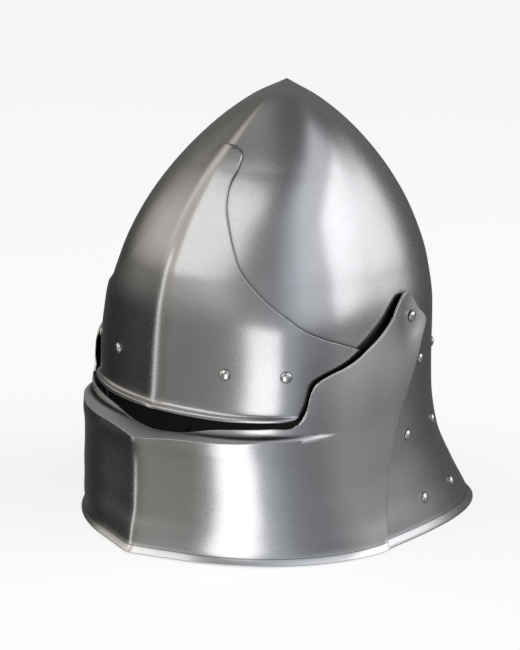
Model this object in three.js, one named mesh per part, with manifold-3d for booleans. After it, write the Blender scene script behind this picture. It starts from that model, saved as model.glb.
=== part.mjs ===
import * as THREE from "three";
import { mergeVertices } from "three/addons/utils/BufferGeometryUtils.js";
import Module from "manifold-3d";

const wasm = await Module();
wasm.setup();

// A sallet with a pointed skull, a keeled brow plate and a deep pivoting visor, in millimetres.
// It stands on its rim at z = 0 and faces -Y. The wearer's left is +X.

// Driving dimensions of the skull
const HEIGHT = 334;
const TEMPLE_HALF_WIDTH = 108.3;
const FOREHEAD_REACH = 118.5;
const NAPE_REACH = 135.5;
const POINT_BACK = 17.4;
const PLATE = 1.6;
const RIM_EDGE = 2.2;
const SKULL_RIDGE = 14;
const SKULL_RIDGE_REACH = 85;
const TAIL_RIDGE = 3.4;
const RIDGE_FADE = 60;
const RIDGE_SPREAD = 0.8;
const BACK_FULLNESS = 3.15;

// Driving dimensions of the face opening in the skull
const CHEEK_FORWARD = 65;
const FACE_TOP = 117;
const FACE_CORNER = 22;

// Driving dimensions of the brow plate
const FIT_GAP = 0.3;
const BROW_BACK = 14.5;
const FLANGE_TOP = 113;
const FLANGE_REACH = 7;

// Driving dimensions of the visor
const PIVOT_BACK = 41;
const PIVOT_HEIGHT = 168;
const VISOR_REACH = 136.5;
const VISOR_RIDGE = 7;
const VISOR_RIDGE_REACH = 38;
const VISOR_LIFT = 1;
const ARM_CLEARANCE = 7.8;
const ARM_FRONT = 77;
const PIVOT_PLAY = 0.6;
const SIGHT_END = 104.5;
const VISOR_BACK = 2;

// Driving dimensions of the rivets
const HEAD_RADIUS = 3.9;
const HEAD_HEIGHT = 2.1;
const SHANK_RADIUS = 1.9;
const PEEN_RADIUS = 3;
const PEEN_HEIGHT = 1.2;
const PEEN_GAP = 0.6;
const RIVET_SIDES = 10;

// How finely the curved plates are divided
const QUARTER_COLUMNS = 12;
const ARM_COLUMNS = 4;

// Cross-sections of the skull from the rim to the point. Level is a share of HEIGHT, width of
// TEMPLE_HALF_WIDTH, front of FOREHEAD_REACH, back of NAPE_REACH and centre of POINT_BACK.
// Fullness is the exponent of the front quarter: 2 is an ellipse, more is squarer.
const SKULL_SECTIONS = [
  { level: 0, width: 1.2, front: 1, back: 1.475, centre: 0, fullness: 2 },
  { level: 0.0165, width: 1.175, front: 1, back: 1.44, centre: 0, fullness: 2 },
  { level: 0.03, width: 1.158, front: 1, back: 1.415, centre: 0, fullness: 2 },
  { level: 0.1, width: 1.087, front: 1, back: 1.285, centre: 0, fullness: 2.15 },
  { level: 0.2, width: 1.02, front: 1, back: 1.125, centre: 0, fullness: 2.4 },
  { level: 0.3, width: 0.998, front: 1, back: 1.042, centre: 0, fullness: 2.8 },
  { level: 0.4, width: 1, front: 0.994, back: 1, centre: 0, fullness: 2.9 },
  { level: 0.5, width: 0.988, front: 0.99, back: 0.978, centre: 0.06, fullness: 2.82 },
  { level: 0.6, width: 0.919, front: 0.958, back: 0.941, centre: 0.17, fullness: 2.75 },
  { level: 0.7, width: 0.813, front: 0.858, back: 0.832, centre: 0.33, fullness: 2.8 },
  { level: 0.8, width: 0.665, front: 0.678, back: 0.65, centre: 0.52, fullness: 2.8 },
  { level: 0.89, width: 0.468, front: 0.429, back: 0.415, centre: 0.72, fullness: 2.6 },
  { level: 0.96, width: 0.232, front: 0.19, back: 0.178, centre: 0.9, fullness: 2.2 },
  { level: 1, width: 0, front: 0, back: 0, centre: 1, fullness: 2 },
];

// The visor's face from the rim to the ledge: level is a share of HEIGHT, reach of VISOR_REACH.
// Side is the share of the arms' clearance at that level.
const VISOR_FACE = [
  { level: 0, reach: 1.062, fullness: 1.85, side: 0.54 },
  { level: 0.02, reach: 1.043, fullness: 1.92, side: 0.5 },
  { level: 0.055, reach: 1.02, fullness: 2.05, side: 0.52 },
  { level: 0.095, reach: 1, fullness: 2.2, side: 0.62 },
  { level: 0.15, reach: 1.002, fullness: 2.32, side: 0.82 },
  { level: 0.2, reach: 1.01, fullness: 2.35, side: 1 },
  { level: 0.225, reach: 1.018, fullness: 2.37, side: 1 },
  { level: 0.26, reach: 1.037, fullness: 2.4, side: 1 },
  { level: 1, reach: 1.04, fullness: 2.4, side: 1 },
];

// The visor's upper edge round the face. Turn is a share of the quarter turn from keel to side.
// Ledge and foot are shares of SIGHT_END, and clearance is a share of ARM_CLEARANCE.
const VISOR_ROUND = [
  { turn: 0, ledge: 0.833, foot: 0.845, clearance: 0.5 },
  { turn: 0.13, ledge: 0.864, foot: 0.872, clearance: 0.8 },
  { turn: 0.27, ledge: 0.876, foot: 0.89, clearance: 1.08 },
  { turn: 0.4, ledge: 0.886, foot: 0.905, clearance: 1.15 },
  { turn: 0.53, ledge: 0.903, foot: 0.92, clearance: 1.08 },
  { turn: 0.62, ledge: 0.903, foot: 0.925, clearance: 1 },
  { turn: 0.8, ledge: 0.898, foot: 0.92, clearance: 0.95 },
  { turn: 1, ledge: 0.898, foot: 0.92, clearance: 0.95 },
  { turn: 2, ledge: 0.898, foot: 0.92, clearance: 0.95 },
];

// How the arms close in on the skull towards the pivots. Distance is a share of PIVOT_HEIGHT.
const PIVOT_ROUND = [
  { distance: 0, clearance: 0.46 },
  { distance: 0.05, clearance: 0.5 },
  { distance: 0.12, clearance: 0.76 },
  { distance: 0.2, clearance: 0.95 },
  { distance: 0.3, clearance: 1 },
  { distance: 4, clearance: 1 },
];

// Half the visor's upper edge seen from the front, between its arms: out is a share of
// TEMPLE_HALF_WIDTH and height of SIGHT_END.
const SIGHT_EDGE = [
  { out: 0, height: 0.853 },
  { out: 0.165, height: 0.859 },
  { out: 0.275, height: 0.88 },
  { out: 0.42, height: 0.92 },
  { out: 0.6, height: 0.95 },
  { out: 0.775, height: 0.972 },
  { out: 0.895, height: 0.992 },
];

// The rolled lower edge of the brow plate. Turn as above, tip is a share of FLANGE_TOP and
// reach a share of FLANGE_REACH.
const FLANGE_ROUND = [
  { turn: 0, tip: 0.934, reach: 1 },
  { turn: 0.07, tip: 0.92, reach: 0.92 },
  { turn: 0.2, tip: 0.915, reach: 0.85 },
  { turn: 0.35, tip: 0.925, reach: 0.84 },
  { turn: 0.5, tip: 0.937, reach: 0.78 },
  { turn: 0.58, tip: 0.943, reach: 0.5 },
  { turn: 0.65, tip: 0.947, reach: 0 },
  { turn: 2, tip: 0.947, reach: 0 },
];

// Half the brow plate seen from the front, from its tip down: height is a share of HEIGHT and
// width of TEMPLE_HALF_WIDTH.
const BROW_OUTLINE = [
  { height: 0.869, width: 0 },
  { height: 0.865, width: 0.062 },
  { height: 0.852, width: 0.124 },
  { height: 0.83, width: 0.152 },
  { height: 0.79, width: 0.168 },
  { height: 0.755, width: 0.21 },
  { height: 0.712, width: 0.29 },
  { height: 0.668, width: 0.375 },
  { height: 0.632, width: 0.45 },
  { height: 0.598, width: 0.55 },
  { height: 0.566, width: 0.66 },
  { height: 0.54, width: 0.765 },
];

// The brow plate's upper edge seen from the side, from there back: forward is a share of
// FOREHEAD_REACH and height of HEIGHT.
const BROW_SIDE = [
  { forward: 0.672, height: 0.541 },
  { forward: 0.61, height: 0.517 },
  { forward: 0.495, height: 0.494 },
  { forward: 0.35, height: 0.476 },
  { forward: 0.15, height: 0.451 },
];

// The visor arm's front edge seen from the side, from the sight's end to its tip. Forward is a
// share of the distance from pivot to sight end, and up of the height of the pivot above it.
const ARM_EDGE = [
  { forward: 0.977, up: -0.934 },
  { forward: 0.962, up: -0.775 },
  { forward: 0.948, up: -0.638 },
  { forward: 0.915, up: -0.545 },
  { forward: 0.841, up: -0.465 },
  { forward: 0.7, up: -0.385 },
  { forward: 0.602, up: -0.32 },
  { forward: 0.517, up: -0.244 },
  { forward: 0.377, up: -0.118 },
  { forward: 0.254, up: 0.031 },
  { forward: 0.148, up: 0.205 },
  { forward: 0.044, up: 0.291 },
  { forward: -0.026, up: 0.222 },
  { forward: -0.083, up: 0.087 },
  { forward: -0.158, up: -0.035 },
  { forward: -0.174, up: -0.093 },
  { forward: -0.158, up: -0.16 },
];

// The visor's back edge seen from the side, from below the pivot to the rim. Back is a share of
// the distance from rim corner to pivot and height of PIVOT_HEIGHT.
const VISOR_BACK_EDGE = [
  { back: 1.249, height: 0.862 },
  { back: 1.02, height: 0.752 },
  { back: 0.8, height: 0.648 },
  { back: 0.6, height: 0.54 },
  { back: 0.445, height: 0.44 },
  { back: 0.316, height: 0.338 },
  { back: 0.2, height: 0.21 },
  { back: 0.119, height: 0.1 },
  { back: 0.05, height: 0.04 },
];

// Rivets of the brow plate: out is a share of TEMPLE_HALF_WIDTH and height of HEIGHT.
const BROW_RIVETS = [
  { name: "inner", out: 0.46, height: 0.409 },
  { name: "outer", out: 0.8, height: 0.414 },
];

// Rivets at the nape: back is a share of NAPE_REACH and height of HEIGHT.
const NAPE_RIVETS = [
  { name: "upper_side", back: 0.478, height: 0.391 },
  { name: "upper_back", back: 0.79, height: 0.399 },
  { name: "middle_side", back: 0.358, height: 0.222 },
  { name: "middle_back", back: 0.714, height: 0.226 },
  { name: "lower_side", back: 0.46, height: 0.071 },
  { name: "lower_back", back: 0.83, height: 0.072 },
];

const STEEL = 0xa9abad;
const RIVET_STEEL = 0xc2c3c4;

// A smooth curve through one column of a table that doesn't overshoot its rows.
function curve(rows, along, column) {
  const x = rows.map((row) => row[along]);
  const y = rows.map((row) => row[column]);
  const last = x.length - 1;
  const slope = x.slice(1).map((value, i) => (y[i + 1] - y[i]) / (value - x[i]));
  const tangent = x.map((_, i) => {
    if (i === 0) return slope[0];
    if (i === last) return slope[last - 1];
    const product = slope[i - 1] * slope[i];
    return product <= 0 ? 0 : (2 * product) / (slope[i - 1] + slope[i]);
  });
  return (at) => {
    const clamped = THREE.MathUtils.clamp(at, x[0], x[last]);
    const next = x.findIndex((value) => value > clamped);
    const i = next < 0 ? last - 1 : next - 1;
    const step = x[i + 1] - x[i];
    const t = (clamped - x[i]) / step;
    const rise = y[i + 1] - y[i];
    const bend = tangent[i] * (1 - t) - tangent[i + 1] * t + (rise / step) * (2 * t - 1);
    return y[i] + rise * t + t * (1 - t) * step * bend;
  };
}

const skullWidth = curve(SKULL_SECTIONS, "level", "width");
const skullFront = curve(SKULL_SECTIONS, "level", "front");
const skullBack = curve(SKULL_SECTIONS, "level", "back");
const skullCentre = curve(SKULL_SECTIONS, "level", "centre");
const skullFullness = curve(SKULL_SECTIONS, "level", "fullness");
const visorReach = curve(VISOR_FACE, "level", "reach");
const visorFullness = curve(VISOR_FACE, "level", "fullness");
const visorSide = curve(VISOR_FACE, "level", "side");
const ledgeLevel = curve(VISOR_ROUND, "turn", "ledge");
const footLevel = curve(VISOR_ROUND, "turn", "foot");
const roundClearance = curve(VISOR_ROUND, "turn", "clearance");
const pivotClearance = curve(PIVOT_ROUND, "distance", "clearance");
const flangeTip = curve(FLANGE_ROUND, "turn", "tip");
const flangeReach = curve(FLANGE_ROUND, "turn", "reach");

// One quarter of a section with a ridge on the middle plane, at a turn from that plane.
function quarter(turn, halfWidth, reach, fullness, ridge, ridgeReach) {
  const angle = (turn * Math.PI) / 2;
  const across = halfWidth * Math.abs(Math.sin(angle)) ** (2 / fullness);
  const along = (reach - ridge) * Math.abs(Math.cos(angle)) ** (2 / fullness);
  const fade = Math.max(0, 1 - across / ridgeReach);
  return { across, along: along + ridge * fade * fade };
}

// A point on the skull's outside. Turn is 0 at the keel, 1 at the side and 2 at the back, and
// negative on the wearer's right.
function skullPoint(turn, height) {
  const level = height / HEIGHT;
  const side = Math.sign(turn);
  const fade = Math.min(1, (HEIGHT - height) / RIDGE_FADE);
  const halfWidth = TEMPLE_HALF_WIDTH * skullWidth(level);
  const ridgeReach = Math.max(Math.min(SKULL_RIDGE_REACH, halfWidth * RIDGE_SPREAD), PLATE);
  const centre = POINT_BACK * skullCentre(level);
  const front = Math.abs(turn) <= 1;
  const { across, along } = front
    ? quarter(
        Math.abs(turn),
        halfWidth,
        FOREHEAD_REACH * skullFront(level),
        skullFullness(level),
        SKULL_RIDGE * fade,
        ridgeReach,
      )
    : quarter(
        2 - Math.abs(turn),
        halfWidth,
        NAPE_REACH * skullBack(level),
        BACK_FULLNESS,
        TAIL_RIDGE * fade,
        ridgeReach,
      );
  return new THREE.Vector3(side * across, centre + (front ? -along : along), height);
}

// The unit normal of a surface given as a function of turn and height.
function normalOf(surface, turn, height) {
  const dTurn = 0.01;
  const dHeight = 0.5;
  const low = Math.max(height - dHeight, 0);
  const high = Math.min(height + dHeight, HEIGHT - 0.01);
  const round = surface(turn + dTurn, height).sub(surface(turn - dTurn, height));
  const up = surface(turn, high).sub(surface(turn, low));
  return round.cross(up).normalize();
}

// A point at a distance outside the skull.
function besideSkull(turn, height, out) {
  return skullPoint(turn, height).addScaledVector(normalOf(skullPoint, turn, height), out);
}

// How far the visor's arms and the strip over its ledge stand out from the skull.
function armClearance(turn, height) {
  const below = skullPoint(turn, height);
  const distance = Math.hypot(below.y - PIVOT_BACK, height - PIVOT_HEIGHT);
  const share = roundClearance(Math.abs(turn)) * visorSide(height / HEIGHT);
  return ARM_CLEARANCE * share * pivotClearance(distance / PIVOT_HEIGHT);
}

function armPoint(turn, height) {
  return besideSkull(turn, height, armClearance(turn, height));
}

// A point on the outside of the visor's face, which merges with its arms at the sides.
function visorFacePoint(turn, height) {
  if (Math.abs(turn) >= 1) return armPoint(turn, height);
  const level = height / HEIGHT;
  const { across, along } = quarter(
    Math.abs(turn),
    armPoint(1, height).x,
    VISOR_REACH * visorReach(level),
    visorFullness(level),
    VISOR_RIDGE,
    VISOR_RIDGE_REACH,
  );
  return new THREE.Vector3(Math.sign(turn) * across, -along, height);
}

// A closed plate from rows of outside and inside points. Closed rows run right round.
function plateSolid(outside, inside, closed) {
  const rows = outside.length;
  const columns = outside[0].length;
  const points = [...outside.flat(), ...inside.flat()];
  const index = (layer, row, column) => (layer * rows + row) * columns + (column % columns);
  const triangles = [];
  const quad = (a, b, c, d) => triangles.push(a, b, c, a, c, d);
  const spans = closed ? columns : columns - 1;
  for (let row = 0; row < rows - 1; row++) {
    for (let column = 0; column < spans; column++) {
      quad(
        index(0, row, column),
        index(0, row, column + 1),
        index(0, row + 1, column + 1),
        index(0, row + 1, column),
      );
      quad(
        index(1, row, column),
        index(1, row + 1, column),
        index(1, row + 1, column + 1),
        index(1, row, column + 1),
      );
    }
    if (closed) continue;
    quad(index(0, row, 0), index(0, row + 1, 0), index(1, row + 1, 0), index(1, row, 0));
    const end = columns - 1;
    quad(index(0, row, end), index(1, row, end), index(1, row + 1, end), index(0, row + 1, end));
  }
  for (let column = 0; column < spans; column++) {
    const top = rows - 1;
    quad(
      index(0, 0, column),
      index(1, 0, column),
      index(1, 0, column + 1),
      index(0, 0, column + 1),
    );
    quad(
      index(0, top, column),
      index(0, top, column + 1),
      index(1, top, column + 1),
      index(1, top, column),
    );
  }
  const geometry = new THREE.BufferGeometry();
  geometry.setAttribute(
    "position",
    new THREE.Float32BufferAttribute(points.flatMap((p) => p.toArray()), 3),
  );
  geometry.setIndex(triangles);
  return solidOf(geometry);
}

// A three.js geometry as a solid that can be joined and cut.
function solidOf(geometry) {
  const bare = geometry.clone();
  bare.deleteAttribute("normal");
  bare.deleteAttribute("uv");
  const merged = mergeVertices(bare, 1e-4);
  return new wasm.Manifold(
    new wasm.Mesh({
      numProp: 3,
      vertProperties: new Float32Array(merged.attributes.position.array),
      triVerts: new Uint32Array(merged.index.array),
    }),
  );
}

// A solid as a named mesh.
function meshOf(name, solid, color) {
  const { vertProperties, triVerts } = solid.getMesh();
  const geometry = new THREE.BufferGeometry();
  geometry.setAttribute("position", new THREE.BufferAttribute(vertProperties, 3));
  geometry.setIndex(new THREE.BufferAttribute(triVerts, 1));
  geometry.computeVertexNormals();
  const material = new THREE.MeshStandardMaterial({ color, metalness: 1, roughness: 0.35 });
  const mesh = new THREE.Mesh(geometry, material);
  mesh.name = name;
  return mesh;
}

// The turns of the columns from one side round the front to the other.
function turnsTo(quarters) {
  const half = Math.round(quarters * QUARTER_COLUMNS);
  return Array.from({ length: 2 * half + 1 }, (_, i) => (i - half) / QUARTER_COLUMNS);
}

// Levels above the brow's lower edge are shared by the plates that lie on each other.
const UPPER_STEPS = 13;
const UPPER_LEVELS = Array.from(
  { length: UPPER_STEPS },
  (_, i) => FLANGE_TOP + ((HEIGHT - FLANGE_TOP) * i) / UPPER_STEPS,
);

// A prism that runs right across the helmet, from an outline in (y, z).
function acrossPrism(shape) {
  const depth = 4 * TEMPLE_HALF_WIDTH;
  const geometry = new THREE.ExtrudeGeometry(shape, { depth, bevelEnabled: false, curveSegments: 3 });
  geometry.translate(0, 0, -depth / 2);
  geometry.applyMatrix4(
    new THREE.Matrix4().makeBasis(
      new THREE.Vector3(0, 1, 0),
      new THREE.Vector3(0, 0, 1),
      new THREE.Vector3(1, 0, 0),
    ),
  );
  return solidOf(geometry);
}

// A prism that runs from front to back, from an outline in (x, z).
function throughPrism(shape) {
  const depth = 4 * NAPE_REACH;
  const geometry = new THREE.ExtrudeGeometry(shape, { depth, bevelEnabled: false, curveSegments: 3 });
  geometry.translate(0, 0, -depth / 2);
  geometry.rotateX(Math.PI / 2);
  return solidOf(geometry);
}

function skullShell() {
  const rim = SKULL_SECTIONS.slice(0, 3).map((row) => row.level * HEIGHT);
  const skirtSteps = 5;
  const skirtTop = FLANGE_TOP * flangeTip(1);
  const skirt = Array.from(
    { length: skirtSteps },
    (_, i) => rim[2] + ((skirtTop - rim[2]) * (i + 1)) / skirtSteps,
  );
  const nearPoint = HEIGHT - PLATE * 4;
  const levels = [...rim, ...skirt, ...UPPER_LEVELS, nearPoint];
  const columns = 4 * QUARTER_COLUMNS;
  const turns = Array.from({ length: columns }, (_, i) => (i - columns / 2 + 1) / QUARTER_COLUMNS);
  const outside = levels.map((z) => turns.map((turn) => skullPoint(turn, z)));
  const inside = levels.map((z, row) =>
    turns.map((turn, column) => {
      if (row > 0) return besideSkull(turn, z, -PLATE);
      const edge = outside[0][column];
      const inward = new THREE.Vector3(edge.x, edge.y, 0).setLength(RIM_EDGE);
      return edge.clone().sub(inward);
    }),
  );
  const point = new THREE.Vector3(0, POINT_BACK, HEIGHT);
  const under = new THREE.Vector3(0, POINT_BACK, HEIGHT - 2 * PLATE);
  outside.push(turns.map(() => point.clone()));
  inside.push(turns.map(() => under.clone()));
  return pointedShell(outside, inside);
}

// A closed bowl: a plate whose last rows are single points.
function pointedShell(outside, inside) {
  const rows = outside.length;
  const columns = outside[0].length;
  const points = [...outside.flat(), ...inside.flat()];
  const index = (layer, row, column) => (layer * rows + row) * columns + (column % columns);
  const triangles = [];
  const quad = (a, b, c, d) => triangles.push(a, b, c, a, c, d);
  for (let column = 0; column < columns; column++) {
    const next = column + 1;
    for (let row = 0; row < rows - 2; row++) {
      quad(
        index(0, row, column),
        index(0, row, next),
        index(0, row + 1, next),
        index(0, row + 1, column),
      );
      quad(
        index(1, row, column),
        index(1, row + 1, column),
        index(1, row + 1, next),
        index(1, row, next),
      );
    }
    const last = rows - 2;
    triangles.push(index(0, last, column), index(0, last, next), index(0, last + 1, 0));
    triangles.push(index(1, last, column), index(1, last + 1, 0), index(1, last, next));
    quad(index(0, 0, column), index(1, 0, column), index(1, 0, next), index(0, 0, next));
  }
  const geometry = new THREE.BufferGeometry();
  geometry.setAttribute(
    "position",
    new THREE.Float32BufferAttribute(points.flatMap((p) => p.toArray()), 3),
  );
  geometry.setIndex(triangles);
  return solidOf(geometry);
}

// The cut that opens the skull's face, under the brow and between the cheeks.
function faceCut() {
  const far = 2 * VISOR_REACH;
  const shape = new THREE.Shape();
  shape.moveTo(-far, -far);
  shape.lineTo(-CHEEK_FORWARD, -far);
  shape.lineTo(-CHEEK_FORWARD, FACE_TOP - FACE_CORNER);
  shape.quadraticCurveTo(-CHEEK_FORWARD, FACE_TOP, -CHEEK_FORWARD - FACE_CORNER, FACE_TOP);
  shape.lineTo(-far, FACE_TOP);
  return acrossPrism(shape);
}

function browShell() {
  const turns = turnsTo(1);
  const tipShares = [0, 0.3, 0.62];
  const height = (turn, row) => {
    if (row >= tipShares.length) return UPPER_LEVELS[row - tipShares.length];
    const tip = FLANGE_TOP * flangeTip(Math.abs(turn));
    return tip + (FLANGE_TOP - tip) * tipShares[row];
  };
  const flare = (turn, row) => {
    if (row >= tipShares.length) return 0;
    const reach = Math.max(FLANGE_REACH * flangeReach(Math.abs(turn)) - FIT_GAP - PLATE, 0);
    return reach * (1 - tipShares[row]) ** 2;
  };
  const topStep = UPPER_LEVELS.findIndex((z) => z > HEIGHT * BROW_OUTLINE[0].height);
  const rows = Array.from({ length: tipShares.length + topStep + 1 }, (_, row) => row);
  const layer = (out) =>
    rows.map((row) =>
      turns.map((turn) => besideSkull(turn, height(turn, row), FIT_GAP + out + flare(turn, row))),
    );
  return plateSolid(layer(PLATE), layer(0), false);
}

function browFrontOutline() {
  const wide = 2 * TEMPLE_HALF_WIDTH;
  const points = BROW_OUTLINE.map(
    (row) => new THREE.Vector2(row.width * TEMPLE_HALF_WIDTH, row.height * HEIGHT),
  );
  const last = points[points.length - 1];
  const half = [...points.slice(1), new THREE.Vector2(wide, last.y), new THREE.Vector2(wide, 0)];
  const mirrored = half.map((p) => new THREE.Vector2(-p.x, p.y)).reverse();
  return new THREE.Shape([points[0], ...half, ...mirrored]);
}

function browSideOutline() {
  const far = 2 * VISOR_REACH;
  const points = BROW_SIDE.map(
    (row) => new THREE.Vector2(-row.forward * FOREHEAD_REACH, row.height * HEIGHT),
  );
  const first = points[0];
  return new THREE.Shape([
    new THREE.Vector2(-far, 0),
    new THREE.Vector2(-BROW_BACK, 0),
    new THREE.Vector2(-BROW_BACK, points[points.length - 1].y - PLATE),
    ...points.slice().reverse(),
    new THREE.Vector2(far, first.y),
    new THREE.Vector2(far, 2 * HEIGHT),
    new THREE.Vector2(-far, 2 * HEIGHT),
  ]);
}

function visorShell() {
  const turns = turnsTo(1 + ARM_COLUMNS / QUARTER_COLUMNS);
  const faceShares = [0, 0.065, 0.22, 0.42, 0.63, 0.83, 1];
  const armLevels = UPPER_LEVELS.slice(0, 6);
  const columnAt = (turn) => {
    const ledge = SIGHT_END * ledgeLevel(Math.abs(turn));
    const foot = SIGHT_END * footLevel(Math.abs(turn));
    return [
      ...faceShares.map((share) => visorFacePoint(turn, VISOR_LIFT + (ledge - VISOR_LIFT) * share)),
      ...[foot, ...armLevels].map((height) => armPoint(turn, height)),
    ];
  };
  const columns = turns.map(columnAt);
  const outside = columns[0].map((_, row) => columns.map((column) => column[row]));
  const inside = insetGrid(outside, PLATE);
  outside[0].forEach((edge, column) => {
    const inward = new THREE.Vector3(edge.x, edge.y, 0).setLength(RIM_EDGE);
    inside[0][column] = edge.clone().sub(inward);
  });
  return plateSolid(outside, inside, false);
}

// The rows of a grid moved inwards by a plate's thickness, square to its faces.
function insetGrid(grid, thickness) {
  const rows = grid.length - 1;
  const columns = grid[0].length - 1;
  return grid.map((line, row) =>
    line.map((point, column) => {
      const left = line[Math.max(column - 1, 0)];
      const right = line[Math.min(column + 1, columns)];
      const below = row > 0 ? grid[row - 1][column] : point;
      const above = row < rows ? grid[row + 1][column] : point;
      const round = right.clone().sub(left);
      const lower = round.clone().cross(point.clone().sub(below)).normalize();
      const upper = round.clone().cross(above.clone().sub(point)).normalize();
      const normal = lower.clone().add(upper).normalize();
      const squareness = Math.max(normal.dot(lower), normal.dot(upper));
      return point.clone().addScaledVector(normal, -thickness / squareness);
    }),
  );
}

// The opening of the sight over the visor's ledge, seen from the front.
function sightCut() {
  const edge = SIGHT_EDGE.map(
    (row) => new THREE.Vector2(row.out * TEMPLE_HALF_WIDTH, row.height * SIGHT_END),
  );
  const end = edge[edge.length - 1];
  const half = [...edge.slice(1), new THREE.Vector2(end.x, HEIGHT)];
  const mirrored = half.map((p) => new THREE.Vector2(-p.x, p.y)).reverse();
  return throughPrism(new THREE.Shape([edge[0], ...half, ...mirrored]));
}

// The visor seen from the side: its face, its arms round the pivots and its back edge.
function visorOutline() {
  const far = 2 * VISOR_REACH;
  const length = PIVOT_BACK + ARM_FRONT;
  const rise = PIVOT_HEIGHT - SIGHT_END;
  const arm = ARM_EDGE.map(
    (row) => new THREE.Vector2(PIVOT_BACK - row.forward * length, PIVOT_HEIGHT + row.up * rise),
  );
  const back = VISOR_BACK_EDGE.map(
    (row) =>
      new THREE.Vector2(row.back * (PIVOT_BACK + VISOR_BACK) - VISOR_BACK, row.height * PIVOT_HEIGHT),
  );
  const shape = new THREE.Shape();
  shape.moveTo(-far, -far);
  shape.lineTo(-VISOR_BACK, -far);
  shape.lineTo(-VISOR_BACK, 0);
  shape.splineThru([...back].reverse());
  shape.splineThru([...arm].reverse());
  shape.lineTo(-ARM_FRONT, SIGHT_END);
  shape.lineTo(-far, SIGHT_END);
  return shape;
}

// A rivet along +Z whose domed head sits on z = 0, and whose peened end holds the grip.
function rivetGeometry(grip) {
  const profile = [
    [0, -grip - PEEN_HEIGHT],
    [PEEN_RADIUS, -grip],
    [SHANK_RADIUS, -grip],
    [SHANK_RADIUS, 0],
    [HEAD_RADIUS, 0],
    [HEAD_RADIUS * 0.72, HEAD_HEIGHT * 0.7],
    [0, HEAD_HEIGHT],
  ].map(([radius, height]) => new THREE.Vector2(radius, height));
  return new THREE.LatheGeometry(profile, RIVET_SIDES).rotateX(Math.PI / 2);
}

// The round hole that a rivet passes through.
function rivetHole(seat) {
  const length = 20;
  const radius = SHANK_RADIUS + FIT_GAP;
  const hole = new THREE.CylinderGeometry(radius, radius, length, RIVET_SIDES).rotateX(Math.PI / 2);
  hole.applyMatrix4(seat);
  return solidOf(hole);
}

// The turn at which a point of the skull lies a given distance out, or back.
function turnWhere(height, measure, wanted, from, to) {
  let low = from;
  let high = to;
  for (let step = 0; step < 40; step++) {
    const middle = (low + high) / 2;
    if (measure(skullPoint(middle, height)) < wanted) low = middle;
    else high = middle;
  }
  return (low + high) / 2;
}

// The place and direction of a rivet's head: on a point, looking along a direction.
function seatAt(point, direction) {
  const turned = new THREE.Quaternion().setFromUnitVectors(new THREE.Vector3(0, 0, 1), direction);
  return new THREE.Matrix4().compose(point, turned, new THREE.Vector3(1, 1, 1));
}

function seatOnSkull(turn, height, out) {
  const direction = normalOf(skullPoint, turn, height);
  return seatAt(besideSkull(turn, height, out), direction);
}

// How far out the visor's arm reaches anywhere under the head of its pivot rivet.
function armUnderHead() {
  const around = [0, 1, 2, 3, 4, 5, 6, 7].map((step) => (step * Math.PI) / 4);
  const reaches = around.map((angle) => {
    const height = PIVOT_HEIGHT + HEAD_RADIUS * Math.sin(angle);
    const back = PIVOT_BACK + HEAD_RADIUS * Math.cos(angle);
    const turn = turnWhere(height, (p) => p.y, back, 1, 2);
    return armPoint(turn, height).x;
  });
  return Math.max(...reaches);
}

const rivets = [];
for (const [side, sign] of [
  ["left", 1],
  ["right", -1],
]) {
  for (const row of BROW_RIVETS) {
    const height = row.height * HEIGHT;
    const turn = turnWhere(height, (p) => p.x, row.out * TEMPLE_HALF_WIDTH, 0, 1);
    rivets.push({
      name: `rivet_brow_${row.name}_${side}`,
      seat: seatOnSkull(sign * turn, height, 2 * FIT_GAP + PLATE),
      grip: 2 * PLATE + 2 * FIT_GAP + PEEN_GAP,
    });
  }
  for (const row of NAPE_RIVETS) {
    const height = row.height * HEIGHT;
    const turn = turnWhere(height, (p) => p.y, row.back * NAPE_REACH, 1, 2);
    rivets.push({
      name: `rivet_nape_${row.name}_${side}`,
      seat: seatOnSkull(sign * turn, height, FIT_GAP),
      grip: PLATE + FIT_GAP + PEEN_GAP,
    });
  }
  const turn = turnWhere(PIVOT_HEIGHT, (p) => p.y, PIVOT_BACK, 1, 2);
  const headSeat = armUnderHead() + PIVOT_PLAY;
  const skullInside = skullPoint(turn, PIVOT_HEIGHT).x - PLATE;
  const place = new THREE.Vector3(sign * headSeat, PIVOT_BACK, PIVOT_HEIGHT);
  const across = new THREE.Vector3(sign, 0, 0);
  rivets.push({
    name: `rivet_pivot_${side}`,
    seat: seatAt(place, across),
    grip: headSeat - skullInside + 2 * PEEN_GAP,
  });
}

const holes = rivets.map((rivet) => rivetHole(rivet.seat)).reduce((all, hole) => all.add(hole));

const skull = skullShell().subtract(faceCut()).subtract(holes);
const brow = browShell()
  .intersect(throughPrism(browFrontOutline()))
  .intersect(acrossPrism(browSideOutline()))
  .subtract(holes);
const visor = visorShell()
  .intersect(acrossPrism(visorOutline()))
  .subtract(sightCut())
  .subtract(holes);

const helmet = new THREE.Group();
helmet.add(meshOf("skull", skull, STEEL));
helmet.add(meshOf("brow_plate", brow, STEEL));
helmet.add(meshOf("visor", visor, STEEL));
for (const rivet of rivets) {
  const mesh = meshOf(rivet.name, solidOf(rivetGeometry(rivet.grip)), RIVET_STEEL);
  mesh.applyMatrix4(rivet.seat);
  helmet.add(mesh);
}

// The origin is the middle of the helmet's footprint, at the height of the rim.
const footprint = new THREE.Box3().setFromObject(helmet);
helmet.position.y = -(footprint.min.y + footprint.max.y) / 2;

export default helmet;
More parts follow.
